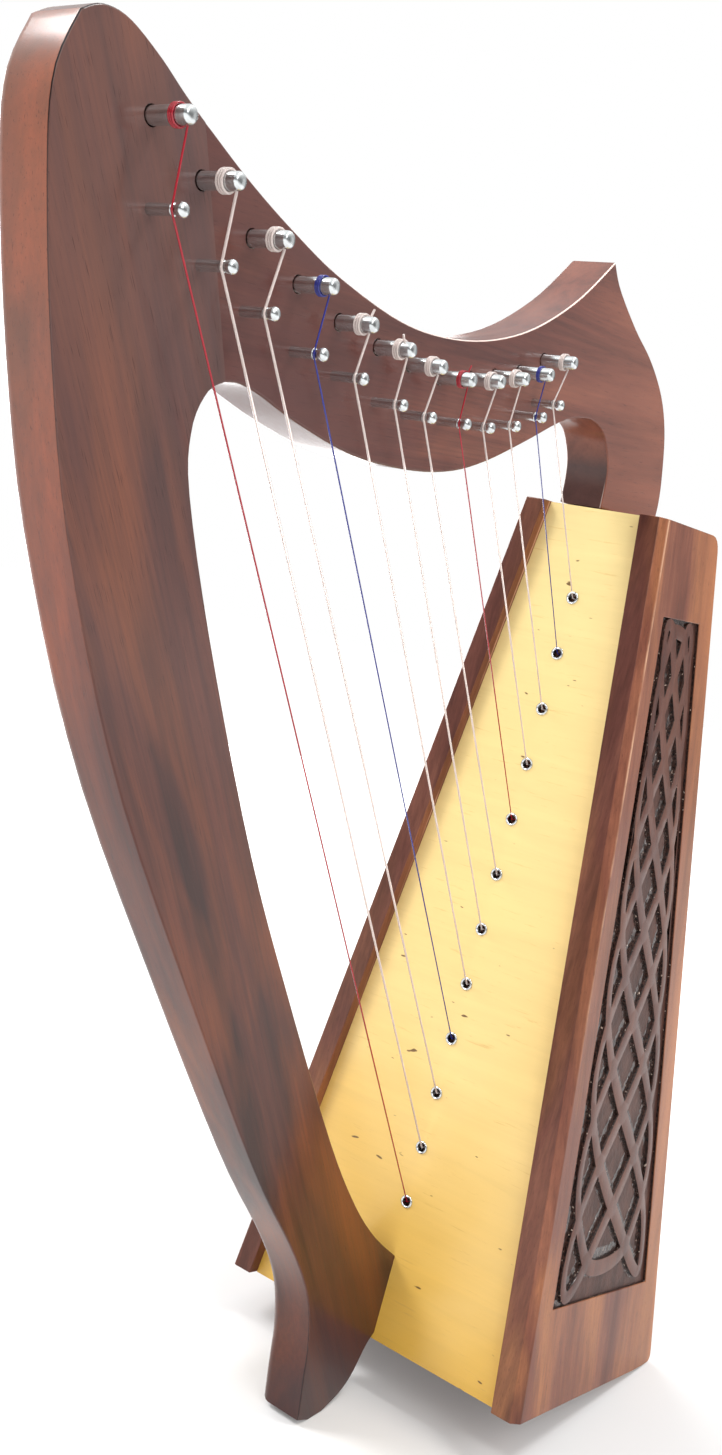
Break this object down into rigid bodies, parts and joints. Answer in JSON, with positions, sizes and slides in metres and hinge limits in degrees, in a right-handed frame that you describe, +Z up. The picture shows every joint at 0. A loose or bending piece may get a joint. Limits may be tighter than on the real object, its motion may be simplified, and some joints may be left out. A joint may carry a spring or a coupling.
{
  "type": "lap harp",
  "caption": "Small celtic harp without levers: curved pillar and neck over a tapered sound box with knotwork side panels, nylon strings on tuning pins.",
  "frame": {"origin": "on the floor, in the middle of the harp's length and width, as it stands on the pillar's foot and the bottom back edge of the sound box", "axes": "+X from the pillar towards the back of the sound box, +Y from the string side of the neck to its far side, +Z up"},
  "size_m": [0.489, 0.178, 0.555],
  "materials": {
    "rosewood": "satin lacquer over dark reddish-brown long-grained wood",
    "birch_ply": "satin yellow lacquer over fine-grained birch plywood, grain across the board",
    "spruce": "bare sawn softwood",
    "nickel": "polished nickel plate",
    "steel": "zinc-plated steel",
    "nylon_clear": "smooth clear nylon",
    "nylon_red": "smooth red-dyed nylon",
    "nylon_blue": "smooth blue-dyed nylon"
  },
  "bodies": {
    "root": {"pillar": "rosewood", "neck": "rosewood", "near_side": "rosewood", "far_side": "rosewood", "string_rib": "rosewood", "back_panel": "rosewood", "end_panel": "rosewood", "soundboard": "birch_ply", "heel_block": "spruce", "top_block": "spruce", "pillar_screw": "steel", "neck_screw": "steel", "bridge_pin_01": "nickel", "eyelet_01": "nickel", "string_01": "nylon_red", "bridge_pin_02": "nickel", "eyelet_02": "nickel", "string_02": "nylon_clear", "bridge_pin_03": "nickel", "eyelet_03": "nickel", "string_03": "nylon_clear", "bridge_pin_04": "nickel", "eyelet_04": "nickel", "string_04": "nylon_blue", "bridge_pin_05": "nickel", "eyelet_05": "nickel", "string_05": "nylon_clear", "bridge_pin_06": "nickel", "eyelet_06": "nickel", "string_06": "nylon_clear", "bridge_pin_07": "nickel", "eyelet_07": "nickel", "string_07": "nylon_clear", "bridge_pin_08": "nickel", "eyelet_08": "nickel", "string_08": "nylon_red", "bridge_pin_09": "nickel", "eyelet_09": "nickel", "string_09": "nylon_clear", "bridge_pin_10": "nickel", "eyelet_10": "nickel", "string_10": "nylon_clear", "bridge_pin_11": "nickel", "eyelet_11": "nickel", "string_11": "nylon_blue", "bridge_pin_12": "nickel", "eyelet_12": "nickel", "string_12": "nylon_clear"},
    "pin_01": {"tuning_pin_01": "nickel"},
    "pin_02": {"tuning_pin_02": "nickel"},
    "pin_03": {"tuning_pin_03": "nickel"},
    "pin_04": {"tuning_pin_04": "nickel"},
    "pin_05": {"tuning_pin_05": "nickel"},
    "pin_06": {"tuning_pin_06": "nickel"},
    "pin_07": {"tuning_pin_07": "nickel"},
    "pin_08": {"tuning_pin_08": "nickel"},
    "pin_09": {"tuning_pin_09": "nickel"},
    "pin_10": {"tuning_pin_10": "nickel"},
    "pin_11": {"tuning_pin_11": "nickel"},
    "pin_12": {"tuning_pin_12": "nickel"}
  },
  "joints": [
    {"name": "turn_01", "type": "hinge", "parent": "root", "child": "pin_01", "pos_m": [-0.20791, 0.01, 0.505], "axis": [0, 1, 0], "range_deg": [-150, 60]},
    {"name": "turn_02", "type": "hinge", "parent": "root", "child": "pin_02", "pos_m": [-0.18341, 0.01, 0.4955], "axis": [0, 1, 0], "range_deg": [-150, 60]},
    {"name": "turn_03", "type": "hinge", "parent": "root", "child": "pin_03", "pos_m": [-0.15691, 0.01, 0.487], "axis": [0, 1, 0], "range_deg": [-150, 60]},
    {"name": "turn_04", "type": "hinge", "parent": "root", "child": "pin_04", "pos_m": [-0.13041, 0.01, 0.4805], "axis": [0, 1, 0], "range_deg": [-150, 60]},
    {"name": "turn_05", "type": "hinge", "parent": "root", "child": "pin_05", "pos_m": [-0.10491, 0.01, 0.475], "axis": [0, 1, 0], "range_deg": [-150, 60]},
    {"name": "turn_06", "type": "hinge", "parent": "root", "child": "pin_06", "pos_m": [-0.07991, 0.01, 0.473], "axis": [0, 1, 0], "range_deg": [-150, 60]},
    {"name": "turn_07", "type": "hinge", "parent": "root", "child": "pin_07", "pos_m": [-0.05791, 0.01, 0.4725], "axis": [0, 1, 0], "range_deg": [-150, 60]},
    {"name": "turn_08", "type": "hinge", "parent": "root", "child": "pin_08", "pos_m": [-0.03641, 0.01, 0.473], "axis": [0, 1, 0], "range_deg": [-150, 60]},
    {"name": "turn_09", "type": "hinge", "parent": "root", "child": "pin_09", "pos_m": [-0.01541, 0.01, 0.4775], "axis": [0, 1, 0], "range_deg": [-150, 60]},
    {"name": "turn_10", "type": "hinge", "parent": "root", "child": "pin_10", "pos_m": [0.00259, 0.01, 0.483], "axis": [0, 1, 0], "range_deg": [-150, 60]},
    {"name": "turn_11", "type": "hinge", "parent": "root", "child": "pin_11", "pos_m": [0.02159, 0.01, 0.4895], "axis": [0, 1, 0], "range_deg": [-150, 60]},
    {"name": "turn_12", "type": "hinge", "parent": "root", "child": "pin_12", "pos_m": [0.03909, 0.01, 0.499], "axis": [0, 1, 0], "range_deg": [-150, 60]}
  ]
}
